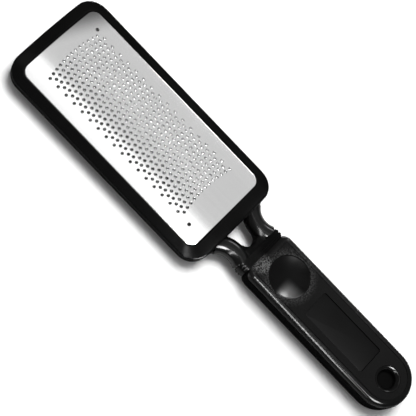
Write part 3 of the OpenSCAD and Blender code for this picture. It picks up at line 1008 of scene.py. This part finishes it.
class FOOTFILE_OT_grips(bpy.types.Operator):
    """The soft grips on the front and the back of the handle"""

    bl_idname = "footfile.grips"
    bl_label = "Grips"

    def execute(self, context):
        g, groove_deep, margin = sizes().grip, 0.4 * MM, 0.3 * MM
        (dish0, dish1), (bush0, bush1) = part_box("thumb_dish"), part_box("hang_bush")
        over, shaft, y = g.thick + MM, g.shaft + g.play, (bush0.y + bush1.y) / 2
        front = grip("front_grip_rubber", g.front_seat, g.thick, g.front_round, 1)
        grow([(margin, 0), (g.groove * 0.2, -groove_deep), (g.groove * 0.6, 0),
              (g.groove * 0.2, groove_deep)])
        closed(front)
        cut_out(front, pin(dish1.x + g.play, (dish0.y + dish1.y) / 2, dish0.z, over))
        cut_out(front, panel_pocket())
        cut_out(front, pin(bush1.x + g.play, y, g.thick - g.rim_depth, over))
        cut_out(front, pin(shaft, y, g.front_seat - MM, g.thick))
        smooth(front, 35)
        done(front, "front_grip", "grip_rubber")

        back = grip("back_grip_rubber", g.back_seat, 0, g.back_round, -1)
        cut_out(closed(back), pin(shaft, y, -MM, g.back_seat + MM))
        smooth(back, 35)
        done(back, "back_grip", "grip_rubber")
        return {"FINISHED"}


def sleeve(name, out, y0, y1):
    """A block with rounded corners round the neck, standing out by that much."""
    g, ease, least, face_points = sizes().grip, 0.35 * MM, 0.1 * MM, 8
    lo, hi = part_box("neck_collar")
    piece = begin(bpy.ops.mesh.primitive_cube_add, name, size=2, location=MIDDLE)
    x, z = hi.x - g.collar_wall + out, (hi.z - lo.z) / 2 - g.collar_wall + out
    bpy.ops.transform.resize(value=(x, (y1 - y0) / 2, z))
    bpy.ops.transform.translate(value=(0, (y0 + y1) / 2, (lo.z + hi.z) / 2))
    pick("EDGE", lambda e: abs(e.verts[0].co.y - e.verts[1].co.y) > least)
    bpy.ops.mesh.bevel(offset=g.collar_corner, segments=10, affect="EDGES")
    if out:
        pick("FACE", lambda f: len(f.verts) > face_points)
        bpy.ops.mesh.region_to_loop()
        bpy.ops.mesh.bevel(offset=ease, segments=4, affect="EDGES")
    return closed(piece)


class FOOTFILE_OT_collar(bpy.types.Operator):
    """The glossy collar with its two ribs"""

    bl_idname = "footfile.collar"
    bl_label = "Collar"

    def execute(self, context):
        lo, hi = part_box("neck_collar")
        long, out = hi.y - lo.y, sizes().grip.collar_wall
        # Each rib's start and end, as shares of the collar's length
        ribs = {"rib_a": (0.58, 0.83), "rib_b": (0.2, 0.45)}
        made = [sleeve("neck_collar_sleeve", 0, lo.y, hi.y)]
        made += [sleeve(name, out, lo.y + long * a, lo.y + long * b) for name, (a, b) in ribs.items()]
        done(together(made), "neck_collar", "collar_plastic")
        return {"FINISHED"}


def dish():
    """The thumb's insert: a disc with an eased edge and a round hollow."""
    lo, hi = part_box("thumb_dish")
    radius, deep = (hi.x - lo.x) / 2, sizes().grip.dish_depth
    ease, rim, steps = 0.15 * MM, 0.5 * MM, 20
    hollow = radius - rim
    ball = (hollow ** 2 + deep ** 2) / (2 * deep)
    points = [(0, lo.z), (radius, lo.z), (radius, hi.z - ease), (radius - ease, hi.z)]
    for i in range(steps + 1):
        r = hollow * math.cos(math.pi / 2 * i / steps)
        points.append((r, hi.z + ball - deep - math.sqrt(ball ** 2 - r ** 2)))
    return turned("thumb_dish_insert", points, (lo.y + hi.y) / 2, 96)


def panel():
    """The blank panel: a plate with round corners and an eased edge."""
    lo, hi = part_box("blank_panel")
    corner, ease = sizes().grip.panel_corner, 0.15 * MM
    piece = outline("blank_panel_insert", hi.x, lo.y, hi.y, lo.z, corner, corner, 6)
    grow([(0, hi.z - lo.z - ease)] + rounding(ease, 3))
    return closed(piece)


def bush():
    """The bush round the hanging hole: a shaft with a wider, dished rim."""
    g = sizes().grip
    lo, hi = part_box("hang_bush")
    ease, flat, dished, bulge = 0.12 * MM, 0.3 * MM, 1.8 * MM, -0.25 * MM
    under = hi.z - g.rim_depth
    points = [(g.hole, 0), (g.shaft, 0), (g.shaft, under), (hi.x, under), (hi.x, hi.z - ease),
              (hi.x - ease, hi.z)]
    points += arc(hi.x - flat, hi.z, g.hole, hi.z - dished, bulge) + [(g.hole, 0)]
    return turned("hang_bush_ring", points, (lo.y + hi.y) / 2, 72)


class FOOTFILE_OT_inserts(bpy.types.Operator):
    """The thumb dish, the blank panel and the bush round the hanging hole"""

    bl_idname = "footfile.inserts"
    bl_label = "Dish, panel and bush"

    def execute(self, context):
        done(dish(), "thumb_dish", "dish_plastic")
        done(panel(), "blank_panel", "panel_plastic")
        done(bush(), "hang_bush", "bush_plastic")
        return {"FINISHED"}


# The whole
STEPS = ("stage", "frame", "plate", "grips", "collar", "inserts")


class FOOTFILE_PT_sidebar(bpy.types.Panel):
    """The foot file's steps and sizes"""

    bl_label = "Foot file"
    bl_idname = "FOOTFILE_PT_sidebar"
    bl_space_type = "VIEW_3D"
    bl_region_type = "UI"
    bl_category = "Foot file"

    def draw(self, context):
        for step in STEPS:
            self.layout.operator(f"footfile.{step}")
        file = context.scene.foot_file
        for group in (file.head, file.plate, file.grip, file.tones):
            box = self.layout.box()
            for name in group.bl_rna.properties.keys():
                if name not in ("rna_type", "name"):
                    box.prop(group, name)


CLASSES = (FootFileHead, FootFilePlate, FootFileGrip, FootFileTones, FootFile, FOOTFILE_OT_stage,
           FOOTFILE_OT_frame, FOOTFILE_OT_plate, FOOTFILE_OT_grips, FOOTFILE_OT_collar,
           FOOTFILE_OT_inserts, FOOTFILE_PT_sidebar)


def register():
    for kind in CLASSES:
        bpy.utils.register_class(kind)
    bpy.types.Scene.foot_file = PointerProperty(type=FootFile)


def unregister():
    del bpy.types.Scene.foot_file
    for kind in reversed(CLASSES):
        bpy.utils.unregister_class(kind)


def main():
    register()
    for step in STEPS:
        getattr(bpy.ops.footfile, step)()


if __name__ == "__main__":
    main()
